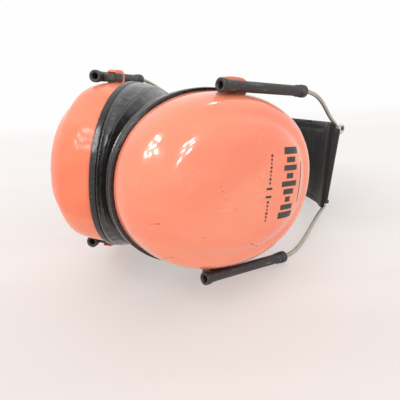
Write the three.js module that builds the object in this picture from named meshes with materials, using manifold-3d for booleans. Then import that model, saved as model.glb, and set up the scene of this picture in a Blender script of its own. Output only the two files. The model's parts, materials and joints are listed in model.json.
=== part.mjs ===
// Earmuff hearing protector: a sprung headband on two wire yokes, sliding tubes and two tilting cups.
// Millimetres. It is drawn as worn (x to the wearer's left, y to the rear, z up), then laid on its rear
// side so that +Z is up from the table: it rests on two tube collars and on the crown of the headband.

import * as THREE from 'three';
import { mergeVertices } from 'three/addons/utils/BufferGeometryUtils.js';
import Module from 'manifold-3d';

const wasm = await Module();
wasm.setup();

// ---- driving dimensions -------------------------------------------------------------------------

const cupHalfLength = 49.8;      // rim outline, chin to crown
const cupHalfWidth = 40;         // rim outline, front to rear
const cupDepth = 27.6;           // rim plane to the middle of the outer face
const outlinePower = 2.14;       // superellipse power of the rim outline
const wall = 2.2;                // shell wall at the long axis
const cupLean = THREE.MathUtils.degToRad(21.7);   // rim plane against the vertical, chin ends inward
const cupOffset = 25.3;          // rim centre from the middle plane

const tubeTurn = THREE.MathUtils.degToRad(4.9);   // tube against the rim plane, at rest
const tubeLength = 55.1;
const tubeBelowPivot = 11.9;     // free end of the tube, below the pivot
const tubeRadius = 2.45;
const collarRadius = 3;
const collarLength = 2.6;
const tubeSide = 42.4;           // tube axis from the cup's middle, front or rear
const tubeOut = 5.5;             // tube axis outside the hinge line
const wireRadius = 1.05;
const runningGap = 0.3;

const pivotOut = 8.7;            // hinge line outside the rim plane
const hemX = 52.4;               // line of the yoke inside the band's end
const hemZ = 93.2;
const crownZ = 123;              // middle of the band's thickness at the crown
const bandHalfWidth = 26;
const crownNarrowing = 0.065;    // share of its width that the band loses at the crown

const cushionThickness = 13;
const plateThickness = 3.2;
const cushionClearance = 0.8;    // each cushion from the middle plane, where the two nearly touch

// ---- values worked out from them ----------------------------------------------------------------

const boreRadius = wireRadius + runningGap;
const bandRise = crownZ - hemZ;
const bandRadius = (hemX ** 2 + bandRise ** 2) / (2 * bandRise);
const bandCentreZ = crownZ - bandRadius;
const bandHalfAngle = Math.asin(hemX / bandRadius);
const tubeTop = tubeLength - tubeBelowPivot;
const tubeLean = cupLean - tubeTurn;
const coverOuter = 2;            // outside of the cover above the middle of the band
const crownHalfWidth = bandHalfWidth * (1 - crownNarrowing);

// Cup-local pieces are drawn with x outward and z towards the crown. Tubes turn about the hinge line.
const cupPlace = new THREE.Matrix4().makeRotationY(cupLean).setPosition(cupOffset, 0, 0);
const pivot = new THREE.Vector3(pivotOut, 0, 0).applyMatrix4(cupPlace);
const tubePlace = new THREE.Matrix4().makeRotationY(tubeLean).setPosition(pivot);
const tubePoint = (out, y, along) => new THREE.Vector3(out, y, along).applyMatrix4(tubePlace);
const tubeTopZ = tubePoint(tubeOut, 0, tubeTop).z;

// Lying on its rear, it rests on the two rear collars and on the rear edge of the crown.
const lyingTilt = Math.atan2(tubeSide + collarRadius - crownHalfWidth, crownZ + coverOuter - tubeTopZ);

// ---- materials ----------------------------------------------------------------------------------

const material = (color, roughness, metalness = 0) =>
  new THREE.MeshStandardMaterial({ color, roughness, metalness });
const coral = () => material(0xfd8a6e, 0.28);
const black = () => material(0x2b2827, 0.5);
const vinyl = () => material(0x2e2b2b, 0.45);
const foam = () => material(0x4a4846, 0.95);
const steel = () => material(0xb9b0a3, 0.3, 1);

// ---- helpers ------------------------------------------------------------------------------------

// Six times the volume that the faces enclose: negative when they point inward.
function signedVolume(position, index) {
  const [a, b, c] = [new THREE.Vector3(), new THREE.Vector3(), new THREE.Vector3()];
  let sum = 0;
  for (let i = 0; i < index.length; i += 3) {
    a.fromBufferAttribute(position, index[i]);
    b.fromBufferAttribute(position, index[i + 1]);
    c.fromBufferAttribute(position, index[i + 2]);
    sum += a.dot(b.cross(c));
  }
  return sum;
}

function turnOver(index) {
  for (let i = 0; i < index.length; i += 3) [index[i], index[i + 1]] = [index[i + 1], index[i]];
}

function toSolid(geometry) {
  const bare = geometry.clone();
  for (const name of ['normal', 'uv']) bare.deleteAttribute(name);
  const merged = mergeVertices(bare, 1e-4);
  const index = new Uint32Array(merged.index.array);
  if (signedVolume(merged.attributes.position, index) < 0) turnOver(index);
  return new wasm.Manifold(new wasm.Mesh({
    numProp: 3,
    vertProperties: new Float32Array(merged.attributes.position.array),
    triVerts: index,
  }));
}

function toGeometry(solid) {
  const mesh = solid.getMesh();
  const geometry = new THREE.BufferGeometry();
  geometry.setAttribute('position', new THREE.BufferAttribute(new Float32Array(mesh.vertProperties), 3));
  geometry.setIndex(new THREE.BufferAttribute(new Uint32Array(mesh.triVerts), 1));
  geometry.computeVertexNormals();
  return geometry;
}

// Moves every vertex of a geometry by a rule that returns its new [x, y, z].
function remap(geometry, rule) {
  const position = geometry.attributes.position;
  for (let i = 0; i < position.count; i += 1) {
    position.setXYZ(i, ...rule(position.getX(i), position.getY(i), position.getZ(i)));
  }
  return geometry;
}

// Mirrors left to right and turns the faces back outward.
function mirrored(geometry) {
  const copy = remap(geometry.clone(), (x, y, z) => [-x, y, z]);
  turnOver(copy.index.array);
  copy.computeVertexNormals();
  return copy;
}

// A lathed body with the cup's oval outline. The profile is [distance along the long axis, outward x].
const ovalSegments = 44;
function ovalLathe(profile) {
  const lathe = new THREE.LatheGeometry(profile.map(([r, out]) => new THREE.Vector2(r, out)), ovalSegments);
  return remap(lathe, (x, y, z) => {
    const r = Math.hypot(x, z);
    if (r < 1e-6) return [y, 0, 0];
    const sum = (Math.abs(x) / r) ** outlinePower + (Math.abs(z) / r) ** outlinePower;
    const stretch = sum ** (-1 / outlinePower);
    return [y, -x * stretch * cupHalfWidth / cupHalfLength, z * stretch];
  });
}

function box(sizeX, sizeY, sizeZ, x, y, z) {
  return new THREE.BoxGeometry(sizeX, sizeY, sizeZ).translate(x, y, z);
}

function postAlongY(radius, yFrom, yTo, x, z, segments = 16) {
  const post = new THREE.CylinderGeometry(radius, radius, Math.abs(yTo - yFrom), segments);
  return post.translate(x, (yFrom + yTo) / 2, z);
}

const inCup = (geometry) => geometry.applyMatrix4(cupPlace);
const onTube = (geometry) => geometry.applyMatrix4(tubePlace);

// ---- cup: shell, plate, cushion, absorber -------------------------------------------------------

const shoulderPower = 2.84;      // how squarely the shell's side turns into its face
const facePower = 4;

function domeProfile(reach, depth, steps) {
  const points = [];
  for (let i = 0; i <= steps; i += 1) {
    const turn = (Math.PI / 2) * (i / steps);
    const r = reach * Math.cos(turn) ** (2 / shoulderPower);
    const out = depth * Math.sin(turn) ** (2 / facePower);
    points.push([i === steps ? 0 : r, out]);
  }
  return points;
}

const lugHalfLength = 7.4;       // along the cup's long axis
const lugHalfThick = 2;
const lugTop = 46.3;             // outer end of the lug from the cup's middle
const lugRoot = cupHalfWidth - 1.7;
const lugCorner = 2.2;
const lugBevel = 0.4;
const windowHalfLength = 5.3;
const windowFloor = cupHalfWidth - 0.4;
const windowTop = tubeSide + 2.3;
const pinRadius = 0.9;
const pinHoleRadius = pinRadius + runningGap;
const pinFoot = lugRoot + 0.8;
const pinHead = lugTop - 0.6;

// The lug is an eye: the tube's pivot block passes through its window and turns on a pin.
function lug(side) {
  const half = lugHalfLength - lugBevel;
  const top = lugTop - lugBevel;
  const outline = new THREE.Shape();
  outline.moveTo(-half, lugRoot);
  outline.lineTo(half, lugRoot);
  outline.lineTo(half, top - lugCorner);
  outline.quadraticCurveTo(half, top, half - lugCorner, top);
  outline.lineTo(-half + lugCorner, top);
  outline.quadraticCurveTo(-half, top, -half, top - lugCorner);
  const depth = 2 * (lugHalfThick - lugBevel);
  const body = new THREE.ExtrudeGeometry(outline, {
    depth, curveSegments: 4, bevelSize: lugBevel, bevelThickness: lugBevel, bevelSegments: 1,
  });
  return toSolid(remap(body, (along, y, out) => [pivotOut + out - depth / 2, side * y, along]));
}

function lugCut(side) {
  const middle = side * (windowFloor + windowTop) / 2;
  const window = box(3 * lugHalfThick, windowTop - windowFloor, 2 * windowHalfLength, pivotOut, middle, 0);
  const hole = postAlongY(pinHoleRadius, side * (pinFoot - runningGap), side * (lugTop + 1), pivotOut, 0);
  return toSolid(window).add(toSolid(hole));
}

function cupShell() {
  const steps = 9;
  const outside = domeProfile(cupHalfLength, cupDepth, steps);
  const inside = domeProfile(cupHalfLength - wall, cupDepth - wall, steps - 1);
  let shell = toSolid(ovalLathe([...outside.reverse(), ...inside]));
  for (const side of [-1, 1]) shell = shell.add(lug(side)).subtract(lugCut(side));
  return toGeometry(shell);
}

const plateGap = 0.35;
function cushionPlate() {
  const rim = cupHalfLength;
  const spigotOuter = rim - wall - 0.5;
  const spigotInner = spigotOuter - 1.7;
  const inner = rim - 16;
  const back = -plateThickness;
  const profile = [
    [rim + 1.1, -plateGap], [rim + 1.6, -1.1], [rim + 1.5, -2.1], [rim + 0.7, -2.9], [rim - 0.6, back],
    [inner, back], [inner, back + 1.6], [spigotInner, back + 1.6], [spigotInner, 3],
    [spigotOuter, 3], [spigotOuter, -plateGap], [rim + 1.1, -plateGap],
  ];
  return toGeometry(toSolid(ovalLathe(profile)));
}

// The cushion is full height at the crown end and pressed thin where the two cups meet at the chin.
const cushionBase = -plateThickness - runningGap;
function cushionHeight(z) {
  const toMiddle = (cupOffset + z * Math.sin(cupLean)) / Math.cos(cupLean);
  return Math.min(cushionThickness, toMiddle + cushionBase - cushionClearance);
}

function pressed(geometry) {
  return remap(geometry, (x, y, z) => {
    const share = (cushionBase - x) / cushionThickness;
    return [cushionBase - share * cushionHeight(z), y, z];
  });
}

function cushionCover() {
  const rim = cupHalfLength;
  const top = cushionBase - cushionThickness;
  const base = cushionBase;
  const skin = 0.9;
  const outer = [
    [rim - 3, base], [rim - 1.4, base - 3], [rim - 1.2, base - 6.5], [rim - 2.6, base - 10],
    [rim - 6, top], [rim - 14, top], [rim - 17.6, base - 10.4], [rim - 18.8, base - 6], [rim - 18, base],
  ];
  const inner = [
    [rim - 18 + skin, base], [rim - 18.8 + skin, base - 6], [rim - 17.2 + skin, base - 9.8],
    [rim - 13.7, top + skin], [rim - 6.3, top + skin], [rim - 3.2 - skin, base - 9.5],
    [rim - 1.2 - skin, base - 6.4], [rim - 1.4 - skin, base - 3.2], [rim - 3 - skin, base],
  ];
  return toGeometry(toSolid(pressed(ovalLathe([...outer, ...inner, outer[0]]))));
}

function cushionFoam() {
  const rim = cupHalfLength;
  const base = cushionBase - runningGap;
  const top = cushionBase - cushionThickness + 2.2;
  const profile = [
    [rim - 5, base], [rim - 3.4, base - 3.2], [rim - 3.1, base - 6], [rim - 4.8, base - 8.6], [rim - 7.2, top],
    [rim - 12.8, top], [rim - 15.2, base - 8.6], [rim - 16.8, base - 6], [rim - 16.2, base], [rim - 5, base],
  ];
  return toGeometry(toSolid(pressed(ovalLathe(profile))));
}

function soundAbsorber() {
  const gap = 0.8;
  const steps = 6;
  const outside = domeProfile(cupHalfLength - wall - gap, cupDepth - wall - gap, steps)
    .filter(([, out]) => out > 4);
  const lining = [[cupHalfLength - 5, 4], [cupHalfLength - 11, 4], [36, 9], [28, 14.5], [14, 17], [0, 17.5]];
  return toGeometry(toSolid(ovalLathe([...outside.reverse(), ...lining])));
}

// ---- sliding tubes, pivot pins ------------------------------------------------------------------

function sliderTube(side) {
  const low = -tubeBelowPivot;
  const high = tubeTop;
  const bevel = 0.5;
  const profile = [
    [boreRadius, low], [collarRadius - bevel, low], [collarRadius, low + bevel],
    [collarRadius, low + collarLength], [tubeRadius, low + collarLength + 0.6],
    [tubeRadius, high - collarLength - 0.6], [collarRadius, high - collarLength],
    [collarRadius, high - bevel], [collarRadius - bevel, high], [boreRadius, high], [boreRadius, low],
  ];
  const lathe = new THREE.LatheGeometry(profile.map(([r, h]) => new THREE.Vector2(r, h)), 20);
  const tube = toSolid(lathe.rotateX(Math.PI / 2).translate(tubeOut, side * tubeSide, 0));
  const wireHole = new THREE.CylinderGeometry(boreRadius, boreRadius, 2 * tubeLength, 20);
  const bore = toSolid(wireHole.rotateX(Math.PI / 2).translate(tubeOut, side * tubeSide, 0));
  return toGeometry(tube.add(pivotBlock(side)).subtract(bore).subtract(pinBore(side)));
}

const blockHalfLength = 4.2;
const blockHalfHeight = 1.9;
const blockInner = -lugHalfThick - 1.3;
function pivotBlock(side) {
  const bevel = 1.2;
  const outline = new THREE.Shape();
  outline.moveTo(tubeOut, -blockHalfLength);
  outline.lineTo(tubeOut, blockHalfLength);
  outline.lineTo(blockInner, blockHalfLength);
  outline.lineTo(blockInner, -blockHalfLength + bevel);
  outline.lineTo(blockInner + bevel, -blockHalfLength);
  const block = new THREE.ExtrudeGeometry(outline, { depth: 2 * blockHalfHeight, bevelEnabled: false });
  return toSolid(block.rotateX(Math.PI / 2).translate(0, side * tubeSide + blockHalfHeight, 0));
}

function pinBore(side) {
  const reach = blockHalfHeight + 1;
  return toSolid(postAlongY(pinHoleRadius, side * tubeSide - reach, side * tubeSide + reach, 0, 0));
}

function pivotPin(side) {
  return toGeometry(toSolid(postAlongY(pinRadius, side * pinFoot, side * pinHead, pivotOut, 0)));
}

// ---- wire yoke and band-end sleeve --------------------------------------------------------------

const wireInTube = 7;            // free end of the wire above the tube's free end
const sleeveHalfLength = 22.6;
const sleeveRadius = 2.3;

// One bent wire: up out of the front tube, across inside the band's end, down into the rear tube.
function wireHalf(side) {
  const foot = tubePoint(tubeOut, side * tubeSide, -tubeBelowPivot + wireInTube);
  const mouth = tubePoint(tubeOut, side * tubeSide, tubeTop + 0.8);
  const along = new THREE.Vector3(Math.sin(tubeLean), 0, Math.cos(tubeLean));
  const knee = new THREE.Vector3(hemX, side * (bandHalfWidth + 1.4), hemZ - 7.5);
  const kneeRun = new THREE.Vector3(0, -side * 0.33, 0.94);
  const turned = new THREE.Vector3(hemX, side * sleeveHalfLength, hemZ);
  const rise = new THREE.CubicBezierCurve3(
    mouth, mouth.clone().addScaledVector(along, 15), knee.clone().addScaledVector(kneeRun, -19), knee);
  const bend = new THREE.CubicBezierCurve3(
    knee, knee.clone().addScaledVector(kneeRun, 5.6), turned.clone().add({ x: 0, y: side * 2.8, z: 0 }), turned);
  return [new THREE.LineCurve3(foot, mouth), rise, bend];
}

function wireYoke() {
  const path = new THREE.CurvePath();
  const front = wireHalf(-1);
  const rear = wireHalf(1);
  for (const piece of front) path.add(piece);
  path.add(new THREE.LineCurve3(front[2].v3, rear[2].v3));
  path.add(new THREE.CubicBezierCurve3(rear[2].v3, rear[2].v2, rear[2].v1, rear[2].v0));
  path.add(new THREE.CubicBezierCurve3(rear[1].v3, rear[1].v2, rear[1].v1, rear[1].v0));
  path.add(new THREE.LineCurve3(rear[0].v2, rear[0].v1));
  const section = new THREE.Shape();
  section.absarc(0, 0, wireRadius, 0, 2 * Math.PI);
  const wire = new THREE.ExtrudeGeometry(section,
    { steps: 90, curveSegments: 5, extrudePath: path, bevelEnabled: false });
  return toGeometry(toSolid(wire));
}

function bandEndSleeve() {
  const half = sleeveHalfLength - 0.4;
  const bevel = 0.6;
  const profile = [
    [boreRadius, -half], [sleeveRadius - bevel, -half], [sleeveRadius, -half + bevel],
    [sleeveRadius, half - bevel], [sleeveRadius - bevel, half], [boreRadius, half], [boreRadius, -half],
  ];
  const sleeve = new THREE.LatheGeometry(profile.map(([r, y]) => new THREE.Vector2(r, y)), 20);
  return toGeometry(toSolid(sleeve.translate(hemX, 0, hemZ)));
}

// ---- headband: cover, spring leaf, pad ----------------------------------------------------------

// A strip bent over the crown. The section is [height above the band's middle, y]; ends are angles.
function bandStrip(section, halfAngle, steps) {
  const arc = new THREE.Shape();
  section.forEach(([height, y], i) => (i ? arc.lineTo(height, y) : arc.moveTo(height, y)));
  const strip = new THREE.ExtrudeGeometry(arc, { depth: 1, steps, bevelEnabled: false });
  return toSolid(remap(strip, (height, y, share) => {
    const angle = halfAngle * (1 - 2 * share);
    const narrow = 1 - crownNarrowing * Math.cos((Math.PI / 2) * angle / bandHalfAngle);
    const r = bandRadius + height;
    return [r * Math.sin(angle), y * narrow, bandCentreZ + r * Math.cos(angle)];
  }));
}

const bandSteps = 26;
const rimInner = bandHalfWidth - 2;
const leafHalfWidth = rimInner - 2;

function clearOfSleeves(strip, radius) {
  let cut = strip;
  for (const side of [-1, 1]) {
    const room = postAlongY(radius, -bandHalfWidth - 5, bandHalfWidth + 5, side * hemX, hemZ, 24);
    cut = cut.subtract(toSolid(room));
  }
  return cut;
}

function headbandCover() {
  const section = [
    [coverOuter - 0.5, -bandHalfWidth], [coverOuter, -bandHalfWidth + 1], [coverOuter, bandHalfWidth - 1],
    [coverOuter - 0.5, bandHalfWidth], [-0.6, bandHalfWidth], [-0.6, rimInner], [0.5, rimInner],
    [0.5, -rimInner], [-0.6, -rimInner], [-0.6, -bandHalfWidth],
  ];
  return toGeometry(clearOfSleeves(bandStrip(section, bandHalfAngle, bandSteps), sleeveRadius + 0.5));
}

function springLeaf() {
  const section = [[-0.3, -leafHalfWidth], [0.2, -leafHalfWidth], [0.2, leafHalfWidth], [-0.3, leafHalfWidth]];
  const shortening = 5 / bandRadius;
  return toGeometry(bandStrip(section, bandHalfAngle - shortening, bandSteps));
}

function headbandPad() {
  const top = -0.9;
  const bottom = -4.6;
  const half = bandHalfWidth - 0.3;
  const section = [
    [top, -half + 1], [top, half - 1], [top - 1, half], [bottom + 1.2, half], [bottom, half - 1.6],
    [bottom, -half + 1.6], [bottom + 1.2, -half], [top - 1, -half],
  ];
  return toGeometry(clearOfSleeves(bandStrip(section, bandHalfAngle, bandSteps), sleeveRadius + 0.5));
}

// ---- assembly -----------------------------------------------------------------------------------

const worn = new THREE.Group();
worn.rotation.x = -(Math.PI / 2 + lyingTilt);

function addPiece(name, geometry, surface) {
  const mesh = new THREE.Mesh(geometry, surface);
  mesh.name = name;
  worn.add(mesh);
}

function addPair(name, geometry, surface) {
  addPiece(`left_${name}`, geometry, surface());
  addPiece(`right_${name}`, mirrored(geometry), surface());
}

addPiece('headband_cover', headbandCover(), black());
addPiece('headband_spring_leaf', springLeaf(), steel());
addPiece('headband_pad', headbandPad(), vinyl());
addPair('band_end_sleeve', bandEndSleeve(), black);
addPair('wire_yoke', wireYoke(), steel);
for (const [end, side] of [['front', -1], ['rear', 1]]) {
  addPair(`${end}_slider_tube`, onTube(sliderTube(side)), black);
  addPair(`${end}_pivot_pin`, inCup(pivotPin(side)), steel);
}
addPair('cup_shell', inCup(cupShell()), coral);
addPair('cushion_plate', inCup(cushionPlate()), black);
addPair('cushion_cover', inCup(cushionCover()), vinyl);
addPair('cushion_foam', inCup(cushionFoam()), foam);
addPair('sound_absorber', inCup(soundAbsorber()), foam);

// The origin is the middle of the bottom of the whole object's box.
const earmuff = new THREE.Group();
earmuff.add(worn);
const extent = new THREE.Box3().setFromObject(earmuff, true);
const middle = extent.getCenter(new THREE.Vector3());
worn.position.set(-middle.x, -middle.y, -extent.min.z);
export default earmuff;
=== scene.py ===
"""Earmuff hearing protector lying on its rear side: the visible surfaces, built round the CAD frame."""

import json
import math

import bmesh
import bpy
import numpy as np
from mathutils import Matrix, Vector


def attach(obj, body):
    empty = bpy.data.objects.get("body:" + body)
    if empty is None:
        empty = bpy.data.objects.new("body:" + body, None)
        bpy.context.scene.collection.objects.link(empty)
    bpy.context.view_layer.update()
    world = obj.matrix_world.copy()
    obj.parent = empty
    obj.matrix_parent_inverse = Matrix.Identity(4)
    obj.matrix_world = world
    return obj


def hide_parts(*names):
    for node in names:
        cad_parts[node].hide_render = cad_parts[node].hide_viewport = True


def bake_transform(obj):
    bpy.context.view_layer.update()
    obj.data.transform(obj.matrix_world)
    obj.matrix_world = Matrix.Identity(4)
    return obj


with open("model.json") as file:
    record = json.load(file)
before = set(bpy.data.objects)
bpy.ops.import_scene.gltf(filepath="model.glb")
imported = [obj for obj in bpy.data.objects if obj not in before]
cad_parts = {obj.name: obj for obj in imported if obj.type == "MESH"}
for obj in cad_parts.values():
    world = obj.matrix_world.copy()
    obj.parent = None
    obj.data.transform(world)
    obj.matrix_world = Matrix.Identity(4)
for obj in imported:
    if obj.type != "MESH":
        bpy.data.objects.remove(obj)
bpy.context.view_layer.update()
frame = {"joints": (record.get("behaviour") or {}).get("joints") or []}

# ---- dimensions, in millimetres ----
# Pieces are drawn in three local frames: "worn" (x to the wearer's left, y to the rear, z up to the
# crown), "cup" (x outward from the rim plane, z along the cup's long axis) and "tube" (x outward from
# the hinge line, z along the slider tubes). Right-hand pieces are the left-hand ones mirrored in x.

MM = 0.001
SIDES = {"left": 1, "right": -1}
ENDS = {"front": -1, "rear": 1}

HEM_X = 52.4
HEM_Z = 93.2
CROWN_Z = 123
BAND_HALF_WIDTH = 26
CROWN_NARROWING = 0.065

CUP_HALF_LENGTH = 49.8
CUP_HALF_WIDTH = 40
CUP_DEPTH = 27.6
OUTLINE_POWER = 2.14
SHOULDER_POWER = 2.84
FACE_POWER = 4
WALL = 2.2
CUP_OFFSET = 25.3
CUP_LEAN = math.radians(21.7)

PIVOT_OUT = 8.7
TUBE_TURN = math.radians(4.9)
TUBE_LOW = -11.9
TUBE_HIGH = 43.2
TUBE_RADIUS = 2.45
COLLAR_RADIUS = 3
COLLAR_LENGTH = 2.6
TUBE_SIDE = 42.4
TUBE_OUT = 5.5
BORE_RADIUS = 1.35
WIRE_RADIUS = 1.05
WIRE_IN_TUBE = 7
SLEEVE_HALF_LENGTH = 22.6
SLEEVE_RADIUS = 2.3
LINER_RADIUS = 1.3
LINER_BORE = 1.12

LUG_MIDDLE = 42.15
LUG_HALF_LENGTH = 7.4
LUG_HALF_THICK = 2
LUG_TOP = 46.3
WINDOW_HALF_LENGTH = 5.3
WINDOW_HALF_HEIGHT = 2.15
LUG_OPENING = math.radians(24)
PIN_RADIUS = 0.9

PLATE_BACK = -3.2
CUSHION_BASE = -3.5
CUSHION_THICKNESS = 13
CUSHION_CLEARANCE = 0.8

BAND_RISE = CROWN_Z - HEM_Z
BAND_RADIUS = (HEM_X ** 2 + BAND_RISE ** 2) / (2 * BAND_RISE)
BAND_CENTRE_Z = CROWN_Z - BAND_RADIUS
HEM_ANGLE = math.asin(HEM_X / BAND_RADIUS)
TUBE_LEAN = CUP_LEAN - TUBE_TURN
RIM = CUP_HALF_LENGTH
OVAL_SEGMENTS = 160

# ---- local frames, from the joints ----

joints = {joint["name"]: joint for joint in frame["joints"]}
to_rear = -Vector(joints["left_band_spread"]["axis"])


def axes(origin, y, z):
    """A right-handed frame in metres with these y and z directions."""
    y, z = Vector(y), Vector(z)
    matrix = Matrix((y.cross(z), y, z)).transposed().to_4x4()
    matrix.translation = origin
    return matrix


def worn_frame():
    hem = Vector(joints["left_band_spread"]["pos_m"])
    left = Vector((1, 0, 0))
    to_crown = left.cross(to_rear)
    return axes(hem - (left * HEM_X + to_crown * HEM_Z) * MM, to_rear, to_crown)


def tube_frame(side):
    """Origin on the cup's hinge line, z up along the slider tubes."""
    pivot = joints[f"{side}_cup_tilt"]["pos_m"]
    down = Vector(joints[f"{side}_height_slide"]["axis"])
    return axes(pivot, to_rear, -down)


def cup_frame(side):
    """Origin in the middle of the rim plane, z along the cup's long axis."""
    turned = tube_frame(side) @ Matrix.Rotation(SIDES[side] * TUBE_TURN, 4, "Y")
    return turned @ Matrix.Translation((-SIDES[side] * PIVOT_OUT * MM, 0, 0))


# ---- mesh helpers ----

def ease(low, high, value):
    share = np.clip((value - low) / (high - low), 0, 1)
    return share * share * (3 - 2 * share)


def grid_faces(rows, columns, wrap_rows=False, wrap_columns=True):
    """Four-sided faces of a grid of points that is listed row by row."""
    faces = []
    for i in range(rows if wrap_rows else rows - 1):
        for j in range(columns if wrap_columns else columns - 1):
            here, below = i * columns, (i + 1) % rows * columns
            faces.append((here + j, here + (j + 1) % columns, below + (j + 1) % columns, below + j))
    return faces


def capped_faces(rows, columns):
    """Faces of a grid of rings, with the first and the last ring closed."""
    caps = [tuple(range(columns)), tuple(range((rows - 1) * columns, rows * columns))]
    return grid_faces(rows, columns) + caps


def full_turn(count):
    return np.linspace(0, 2 * math.pi, count, endpoint=False)


def unit(vectors):
    return vectors / np.linalg.norm(vectors, axis=1)[:, None]


def joined(*parts):
    """Several (points, faces) as one."""
    points, faces, count = [], [], 0
    for part_points, part_faces in parts:
        points.append(part_points)
        faces += [tuple(corner + count for corner in face) for face in part_faces]
        count += len(part_points)
    return np.concatenate(points), faces


def new_mesh(name, points, faces, scale=MM):
    mesh = bpy.data.meshes.new(name)
    mesh.from_pydata((np.asarray(points) * scale).tolist(), [], faces)
    return mesh


def new_object(name, data):
    made = bpy.data.objects.new(name, data)
    bpy.context.scene.collection.objects.link(made)
    return made


def make_mesh(name, points, faces, place, sharp_angle):
    """A mesh in the row frame with merged poles, faces outward, and edges sharp above an angle.

    Each vertex keeps its local place in mm as an attribute, which the materials read.
    """
    mesh = new_mesh(name, points, faces)
    work = bmesh.new()
    work.from_mesh(mesh)
    bmesh.ops.remove_doubles(work, verts=work.verts, dist=1e-7)
    bmesh.ops.dissolve_degenerate(work, edges=work.edges, dist=1e-7)
    bmesh.ops.recalc_face_normals(work, faces=work.faces)
    work.to_mesh(mesh)
    work.free()
    local = np.empty(3 * len(mesh.vertices), np.float32)
    mesh.vertices.foreach_get("co", local)
    mesh.attributes.new("local_mm", "FLOAT_VECTOR", "POINT").data.foreach_set("vector", local / MM)
    mesh.transform(place)
    mesh.shade_smooth()
    mesh.set_sharp_from_angle(angle=math.radians(sharp_angle))
    return mesh


def add_piece(name, body, place, solid, material, stands_for, mirror, sharp_angle, bend=None):
    """A piece drawn in a local frame, riding on a CAD body and standing for some CAD nodes.

    With bend, (second body, start, end), its place is baked into the mesh and it rides on no body; the
    second body, start and end are not used.
    """
    points, faces = solid
    points = np.array(points, float)
    points[:, 0] *= mirror
    piece = new_object(name, make_mesh(name, points, faces, place, sharp_angle))
    piece.data.materials.append(material)
    if bend is None:
        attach(piece, body)
    else:
        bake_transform(piece)
    if stands_for:
        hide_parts(*stands_for)


def rounded(corners, radius, steps=4):
    """A closed outline of (a, b) corners with each corner rounded by up to a radius."""
    outline = []
    corners = [np.array(corner, float) for corner in corners]
    for i, corner in enumerate(corners):
        before, after = corners[i - 1] - corner, corners[(i + 1) % len(corners)] - corner
        cut = min(radius, np.linalg.norm(before) * 0.45, np.linalg.norm(after) * 0.45)
        start = corner + before / np.linalg.norm(before) * cut
        stop = corner + after / np.linalg.norm(after) * cut
        for k in range(steps + 1):
            t = k / steps
            outline.append((1 - t) ** 2 * start + 2 * t * (1 - t) * corner + t * t * stop)
    return outline


def lathe(profile, segments, centre=(0, 0), loop=True):
    """A round body about a line along z. Its profile of (radius, z) is a loop, or starts and ends there."""
    angle = full_turn(segments)
    rings = [np.column_stack([centre[0] + r * np.cos(angle), centre[1] + r * np.sin(angle),
                              np.full(segments, z)]) for r, z in profile]
    return np.concatenate(rings), grid_faces(len(profile), segments, wrap_rows=loop)


def oval_rings(profile, segments):
    """Rings with the cup's oval outline, one for each (reach along the long axis, outward x)."""
    angle = full_turn(segments)
    across, along = np.sin(angle), np.cos(angle)
    stretch = (np.abs(across) ** OUTLINE_POWER + np.abs(along) ** OUTLINE_POWER) ** (-1 / OUTLINE_POWER)
    rings = [np.column_stack([np.full(segments, out),
                              -reach * stretch * across * CUP_HALF_WIDTH / CUP_HALF_LENGTH,
                              reach * stretch * along]) for reach, out in profile]
    return np.concatenate(rings)


def sweep(path, radii, segments):
    """A round rod along a path, closed at both ends."""
    path = np.asarray(path, float)
    tangents = unit(np.gradient(path, axis=0))
    normal = np.cross(tangents[0], (0.3, 0.2, 1.0))
    angle = full_turn(segments)[:, None]
    rings = []
    for point, tangent, radius in zip(path, tangents, radii):
        normal = normal - tangent * normal.dot(tangent)
        normal /= np.linalg.norm(normal)
        rings.append(point + radius * (np.cos(angle) * normal + np.sin(angle) * np.cross(tangent, normal)))
    return np.concatenate(rings), grid_faces(len(path), segments)


def evaluated(holder):
    """Points and faces of an object after its modifiers. The object itself is removed."""
    mesh = holder.evaluated_get(bpy.context.evaluated_depsgraph_get()).data
    points = np.empty(3 * len(mesh.vertices))
    mesh.vertices.foreach_get("co", points)
    faces = [tuple(polygon.vertices) for polygon in mesh.polygons]
    bpy.data.objects.remove(holder)
    return points.reshape(-1, 3), faces


CLOTH_SETTINGS = {
    "quality": 5, "mass": 0.2, "tension_stiffness": 20, "compression_stiffness": 20, "shear_stiffness": 8,
    "bending_stiffness": 0.4, "use_pressure": True, "uniform_pressure_force": 2, "vertex_group_mass": "held",
}


def held_cloth(points, faces, held, cap):
    """The points after a short cloth simulation under pressure, with some points held in place.

    It runs at a hundredth of a unit per millimetre, which suits the solver. No point moves past the cap.
    """
    scale = 0.01
    steps = 20
    scene = bpy.context.scene
    sheet = new_object("cloth", new_mesh("cloth", points, faces, scale))
    group = sheet.vertex_groups.new(name="held")
    group.add([int(i) for i in held], 1.0, "REPLACE")
    cloth = sheet.modifiers.new("Cloth", "CLOTH")
    for setting, value in CLOTH_SETTINGS.items():
        setattr(cloth.settings, setting, value)
    cloth.settings.effector_weights.gravity = 0
    cloth.collision_settings.use_collision = False
    for step in range(1, steps + 1):
        scene.frame_set(step)
    after, _ = evaluated(sheet)
    scene.frame_set(1)
    move = after / scale - points
    length = np.maximum(np.linalg.norm(move, axis=1), 1e-9)[:, None]
    return points + move / length * np.minimum(length, cap)


# ---- material helpers ----

def feed(tree, node, inputs):
    """Links or sets the node's inputs, by name or number."""
    for key, value in inputs.items():
        if isinstance(value, bpy.types.NodeSocket):
            tree.links.new(value, node.inputs[key])
        else:
            node.inputs[key].default_value = value


def add_node(tree, kind, inputs, **settings):
    made = tree.nodes.new("ShaderNode" + kind)
    for name, value in settings.items():
        setattr(made, name, value)
    feed(tree, made, inputs)
    return made


def new_surface(name):
    """A material and its empty tree."""
    material = bpy.data.materials.new(name)
    material.use_nodes = True
    material.node_tree.nodes.clear()
    return material, material.node_tree


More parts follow.
